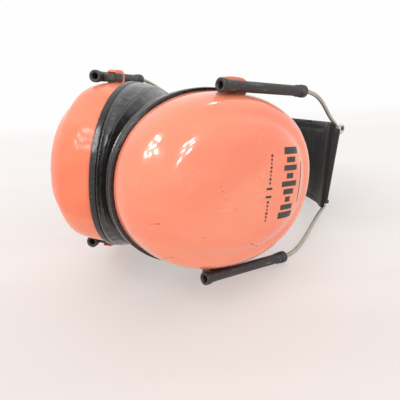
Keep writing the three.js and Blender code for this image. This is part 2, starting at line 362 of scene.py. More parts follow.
def finished(material, colour, roughness, normal, more={}):
    """The material with its Principled shader and output, and more of the shader's inputs."""
    inputs = {"Base Color": colour, "Roughness": roughness, "Normal": normal, **more}
    shader = add_node(material.node_tree, "BsdfPrincipled", inputs)
    add_node(material.node_tree, "OutputMaterial", {"Surface": shader.outputs["BSDF"]})
    return material


def mapped(tree, place, change, value):
    """A place after a change: "Location" (moved), "Rotation" (turned) or "Scale" (stretched)."""
    return add_node(tree, "Mapping", {"Vector": place, change: value}).outputs["Vector"]


def local_mm(tree, stretch=(1, 1, 1)):
    """The piece's own coordinates in millimetres, stretched by direction."""
    place = add_node(tree, "Attribute", {}, attribute_name="local_mm").outputs["Vector"]
    return mapped(tree, place, "Scale", stretch)


def noise(tree, size, detail=3, distortion=0, stretch=(1, 1, 1)):
    """Smooth noise between 0 and 1 with blotches of about this size in mm."""
    inputs = {"Vector": local_mm(tree, stretch), "Scale": 1 / size, "Detail": detail,
              "Distortion": distortion}
    return add_node(tree, "TexNoise", inputs).outputs["Fac"]


def cells(tree, size, feature="F1"):
    """Distance from the nearest of points scattered this far apart in mm, or from the border between two."""
    inputs = {"Vector": local_mm(tree), "Scale": 1 / size}
    return add_node(tree, "TexVoronoi", inputs, feature=feature).outputs["Distance"]


def fade(tree, value, start, stop, low=0, high=1):
    inputs = {"Value": value, "From Min": start, "From Max": stop, "To Min": low, "To Max": high}
    return add_node(tree, "MapRange", inputs, interpolation_type="SMOOTHSTEP").outputs["Result"]


def calc(tree, operation, a, b=0.0):
    return add_node(tree, "Math", {0: a, 1: b}, operation=operation).outputs["Value"]


def times(tree, a, b):
    return calc(tree, "MULTIPLY", a, b)


def mix(tree, share, first, second):
    """Mixes two colours. Each is a linear (r, g, b) or a socket."""
    first, second = [(*colour, 1) if isinstance(colour, tuple) else colour for colour in (first, second)]
    # The Mix node's sockets of each type share their names, so the colour ones are taken by number.
    return add_node(tree, "Mix", {0: share, 6: first, 7: second}, data_type="RGBA").outputs[2]


def relief(tree, height, depth_mm, under=None):
    """A bump of this depth in mm, on top of another bump if one is given."""
    inputs = {"Height": height, "Distance": depth_mm * MM, "Strength": 1}
    if under is not None:
        inputs["Normal"] = under
    return add_node(tree, "Bump", inputs).outputs["Normal"]


def scratches(tree, direction, size, thin):
    """Sparse thin lines along a direction, 1 on a line."""
    lines = noise(tree, size, 2, 0.3, direction)
    near = calc(tree, "ABSOLUTE", calc(tree, "SUBTRACT", lines, 0.5))
    line = fade(tree, near, thin, 0)
    patch = fade(tree, noise(tree, 17), 0.56, 0.68)
    return times(tree, line, patch)


# ---- materials ----

CORAL = (0.97, 0.29, 0.165)
CORAL_DEEP = (0.93, 0.225, 0.125)
CORAL_SCRATCHED = (0.97, 0.45, 0.33)
SCUFF = (0.2, 0.045, 0.04)

# Scuffs on the near shell: (y, z, half-length, half-width, turn in degrees, darkness), in mm.
SHELL_SCUFFS = [
    (12.2, -41.0, 1.7, 0.16, 80, 0.9),
    (-3.3, -15.6, 1.2, 0.2, 30, 0.5),
    (-0.6, -14.6, 1.0, 0.28, 120, 0.4),
    (2.7, -13.0, 0.7, 0.2, 60, 0.5),
    (7.6, -7.4, 0.9, 0.25, 20, 0.5),
    (18.6, -21.0, 0.8, 0.3, 100, 0.35),
    (26.5, 8.3, 3.4, 0.45, 115, 0.6),
    (27.9, 4.6, 1.6, 0.3, 100, 0.5),
    (28.6, -31.9, 1.5, 0.2, 70, 0.7),
    (-23.5, -37.5, 0.3, 0.25, 0, 0.6),
    (-26.0, -14.0, 0.3, 0.2, 0, 0.45),
]


def scuff(tree, place, y, z, half_length, half_width, turn, darkness):
    """1 inside a short rounded stroke on the face of the cup."""
    moved = mapped(tree, place, "Location", (0, -y, -z))
    turned = mapped(tree, moved, "Rotation", (math.radians(turn), 0, 0))
    parts = add_node(tree, "SeparateXYZ", {"Vector": turned})
    past = calc(tree, "SUBTRACT", calc(tree, "ABSOLUTE", parts.outputs["Y"]), half_length)
    past = calc(tree, "MAXIMUM", past, 0.0)
    across = times(tree, parts.outputs["Z"], parts.outputs["Z"])
    distance = calc(tree, "SQRT", calc(tree, "ADD", times(tree, past, past), across))
    return fade(tree, distance, half_width * 1.3, half_width * 0.2, 0, darkness)


def coral_plastic(name, scuffs, coat):
    """Glossy moulded shell with faint flow marks, hairline scratches and dark scuffs."""
    material, tree = new_surface(name)
    flow = noise(tree, 26, 2, 0.6, (0.3, 1, 0.4))
    colour = mix(tree, fade(tree, flow, 0.35, 0.75), CORAL, CORAL_DEEP)
    hairs = calc(tree, "MAXIMUM", scratches(tree, (0.2, 1, 0.12), 2.2, 0.012),
                 scratches(tree, (0.2, 0.1, 1), 2.6, 0.010))
    colour = mix(tree, times(tree, hairs, 0.5), colour, CORAL_SCRATCHED)
    dirt = fade(tree, cells(tree, 7), 0.045, 0.02, 0, 0.5)
    ragged = noise(tree, 0.6, 4)
    wobble = add_node(tree, "VectorMath", {0: local_mm(tree), 1: ragged}, operation="ADD").outputs["Vector"]
    for stroke in scuffs:
        dirt = calc(tree, "MAXIMUM", dirt, scuff(tree, wobble, *stroke))
    dirt = times(tree, dirt, fade(tree, noise(tree, 0.9, 4), 0.3, 0.55))
    colour = mix(tree, dirt, colour, SCUFF)
    smears = fade(tree, noise(tree, 9, 5), 0.35, 0.75, 0.14, 0.26)
    roughness = calc(tree, "ADD", smears, times(tree, hairs, 0.3))
    normal = relief(tree, noise(tree, 14, 1), 0.10)
    normal = relief(tree, noise(tree, 0.5, 2), 0.002, normal)
    normal = relief(tree, times(tree, hairs, -1.0), 0.012, normal)
    return finished(material, colour, roughness, normal, {
        "Subsurface Weight": 0.12, "Subsurface Radius": (1.0, 0.35, 0.2), "Subsurface Scale": 1.5 * MM,
        "Specular IOR Level": 0.1 + 0.6 * coat, "Coat Weight": coat, "Coat Roughness": 0.05,
    })


def moulded_black(name, dark, light, roughness, grain_mm):
    """Black moulded plastic: fine grain, grey rub marks along it and worn edges."""
    material, tree = new_surface(name)
    rubs = noise(tree, 1.3, 4, 0.4, (1, 1, 0.16))
    patch = fade(tree, noise(tree, 8), 0.42, 0.66)
    rubs = times(tree, fade(tree, rubs, 0.54, 0.68), patch)
    edges = fade(tree, add_node(tree, "NewGeometry", {}).outputs["Pointiness"], 0.52, 0.62)
    edges = times(tree, edges, fade(tree, noise(tree, 2.5), 0.4, 0.6))
    worn = calc(tree, "MAXIMUM", rubs, edges)
    tone = mix(tree, noise(tree, 5, 3), dark, tuple(0.75 * c for c in dark))
    colour = mix(tree, times(tree, worn, 0.7), tone, light)
    rough = fade(tree, noise(tree, 1.6, 4), 0.3, 0.7, roughness - 0.07, roughness + 0.1)
    rough = calc(tree, "ADD", rough, times(tree, worn, 0.1))
    normal = relief(tree, cells(tree, grain_mm), 0.008)
    normal = relief(tree, times(tree, rubs, -1.0), 0.04, normal)
    return finished(material, colour, rough, normal)


def vinyl_skin(name, dark, light, roughness, crease_mm, crease_depth, sheen, shine):
    """Soft black skin with a leather grain, fine creases and dusty high spots."""
    material, tree = new_surface(name)
    bloom = noise(tree, 11, 4)
    colour = mix(tree, fade(tree, bloom, 0.4, 0.75), dark, light)
    dust = fade(tree, cells(tree, 1.7), 0.08, 0.03, 0, 0.3)
    colour = mix(tree, dust, colour, (0.2, 0.19, 0.18))
    rough = fade(tree, noise(tree, 3, 4), 0.3, 0.7, roughness - 0.06, roughness + 0.1)
    grain = cells(tree, 0.45, "DISTANCE_TO_EDGE")
    creases = noise(tree, crease_mm, 1, 0.6)
    folded = calc(tree, "ABSOLUTE", calc(tree, "SUBTRACT", creases, 0.5))
    normal = relief(tree, fade(tree, folded, 0, 0.3), crease_depth)
    normal = relief(tree, fade(tree, grain, 0, 0.2), 0.006, normal)
    more = {"Sheen Weight": sheen, "Sheen Roughness": 0.35, "Specular IOR Level": shine}
    return finished(material, colour, rough, normal, more)


def drawn_steel():
    """Stainless wire with fine drawing lines along it and warm, dull patches."""
    material, tree = new_surface("drawn_steel")
    tone = mix(tree, noise(tree, 6, 4), (0.56, 0.51, 0.43), (0.37, 0.33, 0.27))
    lines = noise(tree, 0.8, stretch=(6, 6, 0.5))
    rough = fade(tree, lines, 0.3, 0.7, 0.27, 0.42)
    return finished(material, tone, rough, relief(tree, lines, 0.006), {"Metallic": 1})


def open_foam():
    """Dark open-cell foam: pores painted near-black between lighter ribs, as painted shade in the holes."""
    material, tree = new_surface("open_foam")
    pores = cells(tree, 0.9)
    blotches = noise(tree, 6, 4)
    tone = mix(tree, blotches, (0.075, 0.072, 0.07), (0.045, 0.043, 0.042))
    # Painted shade: the pores are darkened almost to black.
    colour = mix(tree, fade(tree, pores, 0.45, 0.2), tone, (0.008, 0.008, 0.008))
    return finished(material, colour, 0.95, relief(tree, pores, 0.4))


def printed_ink():
    """Dark grey pad printing, thin and worn at places."""
    material, tree = new_surface("printed_ink")
    wear = fade(tree, noise(tree, 1.8, 5), 0.66, 0.74, 0, 0.4)
    tone = mix(tree, noise(tree, 5, 2), (0.02, 0.02, 0.02), (0.04, 0.038, 0.035))
    colour = mix(tree, wear, tone, (0.3, 0.12, 0.08))
    rough = fade(tree, noise(tree, 2, 3), 0.3, 0.7, 0.25, 0.4)
    return finished(material, colour, rough, relief(tree, noise(tree, 0.3, 2), 0.004))


def milky_plastic():
    """Pale translucent liner with faint clouding."""
    material, tree = new_surface("milky_plastic")
    tone = mix(tree, noise(tree, 2.5, 4), (0.75, 0.73, 0.71), (0.55, 0.52, 0.49))
    rough = fade(tree, noise(tree, 1, 3), 0.3, 0.7, 0.3, 0.5)
    return finished(material, tone, rough, relief(tree, noise(tree, 1.5, 2), 0.01))


near_coral = coral_plastic("near_coral", SHELL_SCUFFS, 0.6)
far_coral = coral_plastic("far_coral", [], 0.05)
tube_black = moulded_black("tube_black", (0.028, 0.026, 0.025), (0.15, 0.14, 0.13), 0.44, 0.35)
plate_black = moulded_black("plate_black", (0.02, 0.018, 0.017), (0.07, 0.062, 0.056), 0.22, 0.5)
band_black = vinyl_skin("band_black", (0.012, 0.011, 0.0105), (0.02, 0.018, 0.017),
                        0.4, 9, 0.03, 0.1, 0.3)
lining_black = vinyl_skin("lining_black", (0.008, 0.007, 0.007), (0.014, 0.012, 0.011),
                          0.45, 9, 0.01, 0.2, 0.3)
cushion_black = vinyl_skin("cushion_black", (0.014, 0.012, 0.0115), (0.028, 0.025, 0.024),
                           0.3, 8, 0.012, 0.6, 0.8)
wire_steel = drawn_steel()
foam_grey = open_foam()
ink = printed_ink()
liner = milky_plastic()

# ---- cup shell ----

CREASE_Z = -4.5
CREASE_HALF_LENGTH = 41.5
CREASE_HALF_WIDTH = {"front": 31.8, "rear": 29.6}
CREASE_POWER = 2.3


def oval_share(y, z):
    """0 on the cup's middle axis and 1 on its outline, to the outline's power."""
    return (np.abs(z) / CUP_HALF_LENGTH) ** OUTLINE_POWER + (np.abs(y) / CUP_HALF_WIDTH) ** OUTLINE_POWER


def dome(reach, depth, steps):
    """(reach, out) from the rim to the middle of the face, closer together near the rim."""
    turn = math.pi / 2 * np.linspace(0, 1, steps + 1) ** 1.6
    reaches = reach * np.cos(turn).clip(0) ** (2 / SHOULDER_POWER)
    reaches[-1] = 0
    return list(zip(reaches, depth * np.sin(turn) ** (2 / FACE_POWER)))


def dome_out(y, z):
    """Height of the plain dome above the rim plane."""
    share = oval_share(y, z) ** (SHOULDER_POWER / OUTLINE_POWER)
    return CUP_DEPTH * (1 - share).clip(0) ** (1 / FACE_POWER)


def dome_normals(points):
    out, y, z = points.T
    radial = SHOULDER_POWER * np.maximum(oval_share(y, z), 1e-9) ** (SHOULDER_POWER / OUTLINE_POWER - 1)
    slope_y = radial * np.sign(y) * np.abs(y) ** (OUTLINE_POWER - 1) / CUP_HALF_WIDTH ** OUTLINE_POWER
    slope_z = radial * np.sign(z) * np.abs(z) ** (OUTLINE_POWER - 1) / CUP_HALF_LENGTH ** OUTLINE_POWER
    slope_out = FACE_POWER * (out / CUP_DEPTH) ** (FACE_POWER - 1) / CUP_DEPTH
    return unit(np.column_stack([slope_out, slope_y, slope_z]))


def face_relief(points):
    """The raised oval of the face and the soft valley round it, as a height along the normal."""
    out, y, z = points.T
    half_width = np.where(y < 0, CREASE_HALF_WIDTH["front"], CREASE_HALF_WIDTH["rear"])
    share = (np.abs(z - CREASE_Z) / CREASE_HALF_LENGTH) ** CREASE_POWER
    share = (share + (np.abs(y) / half_width) ** CREASE_POWER) ** (1 / CREASE_POWER)
    inside = (1 - share) * half_width
    chin = ease(-20, -38, z)
    width = 2.6 + 1.4 * chin
    valley = -0.95 * np.exp(-(inside / width) ** 2)
    raised = 0.45 * ease(0, 7, inside)
    return (valley + raised) * ease(6, 14, out)


def on_face(points):
    """Points of the plain dome moved onto the real face."""
    return points + dome_normals(points) * face_relief(points)[:, None]


def shell_solid():
    outside = dome(CUP_HALF_LENGTH, CUP_DEPTH, 70)[1:]
    inside = dome(CUP_HALF_LENGTH - WALL, CUP_DEPTH - WALL, 24)[1:]
    rim = rounded([(RIM - WALL, 1), (RIM - WALL, 0), (RIM, 0), (RIM, 1)], 0.35, 3)[4:-4]
    inner = oval_rings([*reversed(inside), *rim], OVAL_SEGMENTS)
    outer = on_face(oval_rings(outside, OVAL_SEGMENTS))
    rows = len(inside) + len(rim) + len(outside)
    return np.concatenate([inner, outer]), grid_faces(rows, OVAL_SEGMENTS)


def lug_solid(end):
    """A fork open towards the chin, round the pivot block, with a foot that spreads into the shell."""
    columns = 96
    angle = np.linspace(-math.pi + LUG_OPENING, math.pi - LUG_OPENING, columns)

    def outline(half_length, half_height, power):
        along, up = np.abs(np.cos(angle)) / half_length, np.abs(np.sin(angle)) / half_height
        return (along ** power + up ** power) ** (-1 / power)

    window = outline(WINDOW_HALF_LENGTH, WINDOW_HALF_HEIGHT, 9)
    outer = outline(LUG_HALF_LENGTH, LUG_TOP - LUG_MIDDLE, 3.2)
    section = rounded([(0, -1), (1, -1), (1, 1), (0, 1)], 0.22, 4)
    rows = []
    for across, out in section:
        reach = window + (outer - window) * across
        along, height = reach * np.cos(angle), reach * np.sin(angle)
        foot = ease(0, 1, (-1.8 - height) / 2.5)
        rows.append(np.column_stack([
            PIVOT_OUT + out * LUG_HALF_THICK * (1 + 0.5 * foot * across),
            ENDS[end] * (LUG_MIDDLE + height - 0.6 * foot * across),
            along * (1 + 0.08 * foot * across),
        ]))
    tips = [tuple(range(0, len(rows) * columns, columns)),
            tuple(range(columns - 1, len(rows) * columns, columns))]
    return np.concatenate(rows), grid_faces(len(rows), columns, True, False) + tips


def pin_solid(end):
    """The pivot pin, with rounded edges."""
    foot, head = LUG_MIDDLE - WINDOW_HALF_HEIGHT - 0.5, LUG_TOP - 0.5
    edges = rounded([(0, foot), (PIN_RADIUS, foot), (PIN_RADIUS, head), (0, head)], 0.35, 3)[4:-4]
    points, faces = lathe([(0, foot), *edges, (0, head)], 24, loop=False)
    return np.column_stack([points[:, 0] + PIVOT_OUT, ENDS[end] * points[:, 2], points[:, 1]]), faces


# ---- printed mark on the face ----

# A plain sound-wave device: (y, half-width in y, half-height in z) of each bar, then a row of dashes.
WAVE_ROW_Z = 23
WAVE_BARS = [(-16.6, 1.5, 4.9), (-12.6, 1.2, 2.9), (-9, 1.2, 4.4), (-5.4, 1.2, 2.2), (-1.8, 1.2, 5),
             (1.8, 1.2, 3.4), (5.4, 1.2, 1.6), (9, 1.2, 4), (12.8, 1.5, 4.9)]
DASH_ROW_Z = 10.3
DASH_PITCH = 1.7
FINE_LINE = (-1.5, 31.6, 9.6, 0.28)
PRINT_LIFT = 0.08


def printed_bars():
    """(y, z, half-width, half-height) of everything printed. The dashes have a taller pair among them."""
    bars = [(y, WAVE_ROW_Z, half_y, half_z) for y, half_y, half_z in WAVE_BARS]
    for i in range(18):
        if i not in (8, 9, 10, 11):
            bars.append((-14.8 + DASH_PITCH * i, DASH_ROW_Z, 0.5, 0.62 - 0.15 * (i % 3)))
    return [*bars, (-0.4, DASH_ROW_Z, 0.5, 1.7), (3.2, DASH_ROW_Z, 0.5, 1.7), FINE_LINE]


def print_solid():
    """Every bar as a thin layer that follows the face: each row runs over the top and back underneath."""
    parts = []
    for y, z, half_y, half_z in printed_bars():
        columns = max(3, int(half_y * 6))
        rows = max(3, int(half_z * 6))
        loop = np.concatenate([np.linspace(-1, 1, columns), np.linspace(1, -1, columns)])
        across = np.tile(y + half_y * loop, rows)
        along = np.repeat(z + half_z * np.linspace(-1, 1, rows), 2 * columns)
        flat = np.column_stack([dome_out(across, along), across, along])
        side_of_face = np.tile(np.repeat([1, -1], columns), rows)[:, None]
        points = on_face(flat) + dome_normals(flat) * PRINT_LIFT * side_of_face
        parts.append((points, capped_faces(rows, 2 * columns)))
    return joined(*parts)


# ---- cushion, its plate and the absorber ----

def plate_solid():
    """The black flange: a rounded lip outside the shell's rim and a spigot inside it."""
    spigot = RIM - WALL - 0.5
    lip = [(RIM, -0.35), (RIM + 1.6, -0.35), (RIM + 1.6, PLATE_BACK), (RIM - 1, PLATE_BACK)]
    lip = rounded(lip, 0.5)[5:]
    profile = [(spigot, -0.35), *lip, (RIM - 16, PLATE_BACK), (RIM - 16.4, PLATE_BACK + 0.4),
               (RIM - 16.4, PLATE_BACK + 1.3), (RIM - 16, PLATE_BACK + 1.6),
               (spigot - 1.7, PLATE_BACK + 1.6), (spigot - 1.7, 2.7), (spigot - 1.4, 3),
               (spigot - 0.3, 3), (spigot, 2.7)]
    return oval_rings(profile, OVAL_SEGMENTS), grid_faces(len(profile), OVAL_SEGMENTS, wrap_rows=True)


def cushion_height(z):
    """Full height at the crown end, pressed thin at the chin where the two cushions meet."""
    to_middle = (CUP_OFFSET + z * math.sin(CUP_LEAN)) / math.cos(CUP_LEAN)
    return np.minimum(CUSHION_THICKNESS, to_middle + CUSHION_BASE - CUSHION_CLEARANCE)


CUSHION_SEGMENTS = 236
CUSHION_RIBS = CUSHION_SEGMENTS // 2
SEAM_SHARE = 0.62


def cushion_profile():
    """Closed section of the cushion before it is filled: (reach, share of its height above its base)."""
    steps = 6
    corners = [(RIM + 1.1, -0.4), (RIM + 1.7, 2.6), (RIM - 0.1, 8), (RIM - 5.5, 12.8), (RIM - 14, 12.8),
               (RIM - 17.6, 9), (RIM - 18.4, 5), (RIM - 17.8, -0.4)]
    curve = rounded(corners, 5, steps)[steps + 1:-steps - 1]
    crisp_base = [(RIM + 0.9, -0.4), corners[0], (RIM + 1.12, -0.2)]
    return [(reach, height / CUSHION_THICKNESS) for reach, height in [*crisp_base, *curve, corners[-1]]]


def cushion_solid():
    """A padded ring: filled by cloth simulation, then seamed, puckered and pressed flat at the chin."""
    reach, share = np.array(cushion_profile()).T
    points = oval_rings(zip(reach, CUSHION_BASE - share * CUSHION_THICKNESS), CUSHION_SEGMENTS)
    faces = grid_faces(len(reach), CUSHION_SEGMENTS, wrap_rows=True)
    on_seam = (reach > RIM - 9) & (np.abs(share - SEAM_SHARE) < 0.05)
    held = np.flatnonzero(np.repeat((share < 0.06) | on_seam, CUSHION_SEGMENTS))
    return dress_cushion(*smoothed_once(held_cloth(points, faces, held, 0.5), faces))


def smoothed_once(points, faces):
    """One Catmull-Clark subdivision, applied."""
    holder = new_object("once", new_mesh("once", points, faces))
    holder.modifiers.new("Subdivision", "SUBSURF")
    finer, new_faces = evaluated(holder)
    return finer / MM, new_faces


def soft_noise(points, size, seed):
    """Seeded smooth noise between -1 and 1: a sum of waves in fixed directions."""
    source = np.random.default_rng(seed)
    total = np.zeros(len(points))
    for _ in range(12):
        direction = source.normal(size=3)
        direction /= np.linalg.norm(direction)
        wave = 2 * math.pi / (size * source.uniform(0.6, 1.6))
        total += np.sin(points @ direction * wave + source.uniform(0, 7))
    return total / 6


def dress_cushion(points, faces):
    """Adds the welded seam, fine radial puckers beyond it and shallow dents, then presses the chin end."""
    out, y, z = points.T
    share = (CUSHION_BASE - out) / CUSHION_THICKNESS
    reach = oval_share(y, z) ** (1 / OUTLINE_POWER) * RIM
    angle = np.arctan2(y * CUP_HALF_LENGTH / CUP_HALF_WIDTH, z)
    middle = RIM - 10
    away = np.column_stack([-(share - 0.5) * CUSHION_THICKNESS, (reach - middle) * np.sin(angle),
                            (reach - middle) * np.cos(angle)])
    away /= np.maximum(np.linalg.norm(away, axis=1), 1e-6)[:, None]
    outer = ease(RIM - 10, RIM - 5, reach)
    seam = -0.28 * outer * np.exp(-((share - SEAM_SHARE) / 0.022) ** 2)
    ribs = 0.5 + 0.5 * np.sin(CUSHION_RIBS * angle + 2.2 * soft_noise(points, 40, 3))
    beyond = outer * ease(SEAM_SHARE + 0.03, SEAM_SHARE + 0.12, share) * ease(1.1, 0.9, share)
    at_inner = ease(RIM - 15, RIM - 17, reach) * ease(0.2, 0.5, share)
    puckers = -0.09 * ribs * (beyond + 0.8 * at_inner) * (0.6 + 0.4 * soft_noise(points, 25, 5))
    dents = 0.1 * soft_noise(points, 46, 11) * ease(0.1, 0.4, share)
    points = points + away * (seam + puckers + dents)[:, None]
    share = (CUSHION_BASE - points[:, 0]) / CUSHION_THICKNESS
    points[:, 0] = CUSHION_BASE - share.clip(-0.03, 1) * cushion_height(points[:, 2])
    return points, faces


def absorber_solid():
    """The foam lining in the cup, with a lumpy face. Its edge starts just above the plate's spigot."""
    gap, edge = 0.8, 3.2
    dome_rings = dome(CUP_HALF_LENGTH - WALL - gap, CUP_DEPTH - WALL - gap, 26)
    inner = [(reach, out) for reach, out in dome_rings if out > edge]
    face = rounded([(RIM - 4, edge), (RIM - 11, edge), (36, 9), (28, 14.5), (14, 17), (0, 17.5)], 3)[5:-5]
    profile = [(0, CUP_DEPTH - WALL - gap), *reversed(inner[:-1]), (RIM - 5, edge), *face, (0, 17.5)]
    segments = 120
    points = oval_rings(profile, segments)
    on_face_side = np.repeat(np.arange(len(profile)) > len(inner), segments)
    points[:, 0] += on_face_side * (0.35 * soft_noise(points, 7, 21) - 0.35)
    return points, grid_faces(len(profile), segments)


# ---- slider tubes ----

def tube_profile():
    """Section of the slider tube: a bore, a collar at each end and softened edges."""
    low, high = TUBE_LOW, TUBE_HIGH
    collar = low + COLLAR_LENGTH
    corners = [
        (BORE_RADIUS, low + 1.2), (BORE_RADIUS + 0.35, low), (COLLAR_RADIUS, low), (COLLAR_RADIUS, collar),
        (TUBE_RADIUS + 0.15, collar + 0.7), (TUBE_RADIUS - 0.05, collar + 5),
        (TUBE_RADIUS, high - 6.4), (TUBE_RADIUS + 0.35, high - 6), (TUBE_RADIUS + 0.35, high - 4.6),
        (TUBE_RADIUS - 0.1, high - 4.2), (TUBE_RADIUS - 0.1, high - 3.7), (COLLAR_RADIUS, high - 3.2),
        (COLLAR_RADIUS, high), (BORE_RADIUS + 0.35, high), (BORE_RADIUS, high - 1.2),
    ]
    return rounded(corners, 0.4)


def box_solid(x_range, y_range, z_range, corner):
    """A block with rounded edges along x and a softened end."""
    half = np.array([np.ptp(y_range), np.ptp(z_range)]) / 2
    middle = [np.mean(y_range), np.mean(z_range)]
    section = np.array(rounded([(-1, -1) * half, (1, -1) * half, (1, 1) * half, (-1, 1) * half], corner))
    soft = corner * 0.7
    start, stop = x_range
    rows = []
    for x, inset in [(start, soft), (start + soft * 0.3, soft * 0.3), (start + soft, 0), (stop, 0)]:
        rows.append(np.column_stack([np.full(len(section), x), middle + section * (1 - inset / half)]))
    return np.concatenate(rows), capped_faces(len(rows), len(section))


def tube_solid(end):
    side = ENDS[end] * TUBE_SIDE
    barrel = lathe(tube_profile(), 48, (TUBE_OUT, side))
    block = box_solid((-2.6, TUBE_OUT - 1.6), (side - 1.95, side + 1.95), (-6.3, 3.2), 0.6)
    panel = box_solid((-2.85, -1.6), (side - 1.3, side + 1.3), (-5.4, -2.6), 0.3)
    return joined(barrel, block, panel)


# ---- wire yoke and band end ----

def bezier(a, b, c, d, count):
    t = np.linspace(0, 1, count)[:, None]
    return (1 - t) ** 3 * a + 3 * t * (1 - t) ** 2 * b + 3 * t ** 2 * (1 - t) * c + t ** 3 * d


def tube_point(out, y, along):
    """A point of the left tubes' frame, in the worn frame, in mm."""
    pivot_x = CUP_OFFSET + PIVOT_OUT * math.cos(CUP_LEAN)
    pivot_z = -PIVOT_OUT * math.sin(CUP_LEAN)
    return np.array([pivot_x + out * math.cos(TUBE_LEAN) + along * math.sin(TUBE_LEAN), y,
                     pivot_z - out * math.sin(TUBE_LEAN) + along * math.cos(TUBE_LEAN)])


def wire_half(side):
    """From the free end in the tube to the straight run inside the band's end."""
    foot = tube_point(TUBE_OUT, side * TUBE_SIDE, TUBE_LOW + WIRE_IN_TUBE)
    mouth = tube_point(TUBE_OUT, side * TUBE_SIDE, TUBE_HIGH + 0.8)
    up = np.array([math.sin(TUBE_LEAN), 0, math.cos(TUBE_LEAN)])
    knee = np.array([HEM_X, side * (BAND_HALF_WIDTH + 1.4), HEM_Z - 7.5])
    run = np.array([0, -side * 0.33, 0.94])
    turned = np.array([HEM_X, side * SLEEVE_HALF_LENGTH, HEM_Z])
    straight = np.linspace(foot, mouth, 24)
    rise = bezier(mouth, mouth + 15 * up, knee - 19 * run, knee, 48)
    bend = bezier(knee, knee + 5.6 * run, turned + np.array([0, side * 2.8, 0]), turned, 28)
    return np.concatenate([straight[:-1], rise[:-1], bend])


def wire_solid():
    front, rear = wire_half(-1), wire_half(1)
    across = np.linspace(front[-1], rear[-1], 24)[1:-1]
    path = np.concatenate([front, across, rear[::-1]])
    near_ends = [path[0] + (path[1] - path[0]) * 0.15, path[-1] + (path[-2] - path[-1]) * 0.15]
    path = np.insert(path, [1, len(path) - 1], near_ends, axis=0)
    radii = np.full(len(path), WIRE_RADIUS)
    radii[[0, -1]] = 0
    radii[[1, -2]] = WIRE_RADIUS * 0.92
    return sweep(path, radii, 20)


def sleeve_solid():
    """The liner in the band's end, with a flared mouth at each end."""
    half = SLEEVE_HALF_LENGTH + 0.2
    flare = 1.6
    mouth = [(LINER_RADIUS, half - flare - 0.8), (SLEEVE_RADIUS, half - flare), (SLEEVE_RADIUS, half),
             (1.8, half), (LINER_BORE, half - 2.4)]
    other_mouth = [(radius, -z) for radius, z in reversed(mouth)]
    points, faces = lathe(rounded([*other_mouth, *mouth], 0.3, 3), 40)
    return np.column_stack([points[:, 0] + HEM_X, points[:, 2], points[:, 1] + HEM_Z]), faces


# ---- headband ----

ROLL_RADIUS = 2.7
ROLL_HALF_THICK = 0.3
ROLL_HALF_WIDTH = 22.4
# Directions at the hem: outward from the band, and on past its end.
HEM_OUT = np.array([math.sin(HEM_ANGLE), 0, math.cos(HEM_ANGLE)])
HEM_PAST = np.array([math.cos(HEM_ANGLE), 0, -math.sin(HEM_ANGLE)])


def band_point(angle, height):
    """A point over the crown at an angle from the middle and a height above the band's middle line."""
    reach = BAND_RADIUS + height
    return np.array([reach * math.sin(angle), BAND_CENTRE_Z + reach * math.cos(angle)])


def narrowing(angle):
    return 1 - CROWN_NARROWING * np.cos(math.pi / 2 * np.minimum(1, np.abs(angle) / HEM_ANGLE))


def cover_path():
    """Middle line of the cover's left half in (x, z) with its half-thickness and half-width."""
    path = []
    for angle in np.linspace(0, HEM_ANGLE, 60):
        to_end = (HEM_ANGLE - angle) * BAND_RADIUS
        near = ease(11, 0.5, to_end)
        point = band_point(angle, 1.1 + (ROLL_RADIUS - 1.1) * near)
        thick = 0.85 + (ROLL_HALF_THICK - 0.85) * near
        width = BAND_HALF_WIDTH * narrowing(angle)
        width += (ROLL_HALF_WIDTH - width) * ease(6.5, 1.6, to_end)
        path.append((*point, thick, width))
    for turn in np.linspace(0, 5.1, 34)[1:]:
        around = math.pi / 2 - HEM_ANGLE - turn
        path.append((HEM_X + ROLL_RADIUS * math.cos(around), HEM_Z + ROLL_RADIUS * math.sin(around),
                     ROLL_HALF_THICK, ROLL_HALF_WIDTH))
    return np.array(path)


def ribbon(path, section):
    """A ribbon across y. The section maps a half-thickness and half-width to (height, y) points."""
    middle = path[:, :2]
    tangents = unit(np.gradient(middle, axis=0))
    normals = np.column_stack([-tangents[:, 1], tangents[:, 0]])
    rows = []
    for (x, z), normal, (thick, width) in zip(middle, normals, path[:, 2:]):
        rows.append([(x + normal[0] * h, y, z + normal[1] * h) for h, y in section(thick, width)])
    return np.array(rows).reshape(-1, 3), capped_faces(len(rows), len(rows[0]))


def cover_section(thick, width):
    """Flat strip with a thicker rolled edge on each side."""
    edge = thick * 1.08
    front = [(thick, -width + 3), (edge, -width + 1.6), (edge * 0.6, -width), (-edge * 0.9, -width),
             (-edge, -width + 1.8), (-thick, -width + 2.6)]
    rear = [(height, -y) for height, y in reversed(front)]
    return rounded([*front, *rear], 0.9, 3)


def flattened_hem(points, faces):
    """The hem is full and round at the front and flatter towards the rear."""
    offset = points - np.array([HEM_X, 0, HEM_Z])
    to_hem = np.linalg.norm(offset[:, [0, 2]], axis=1)
    flat = ease(-24, 26, points[:, 1]) * ease(16, 4, to_hem)
    return points - (flat * (0.35 * offset @ HEM_OUT + 0.6))[:, None] * HEM_OUT, faces


def flat_section(thick, width):
    return rounded([(thick, -width), (-thick, -width), (-thick, width), (thick, width)], 0.1)


def leaf_solid():
    """The thin spring between the cover and the pad, with its corners cut."""
    end = HEM_ANGLE - 5 / BAND_RADIUS
    path = []
    for angle in np.linspace(0, end, 41):
        corner = min(1, 0.75 + 0.25 * (end - angle) * BAND_RADIUS / 5)
        path.append((*band_point(angle, -0.05), 0.22, 21.5 * narrowing(angle) * corner))
    return flattened_hem(*ribbon(np.array(path), flat_section))


PAD_TOP = -1.0
PAD_BOTTOM = -4.5
PAD_OVERLAP = 4.6
PAD_OVER_ROLL = -3.3


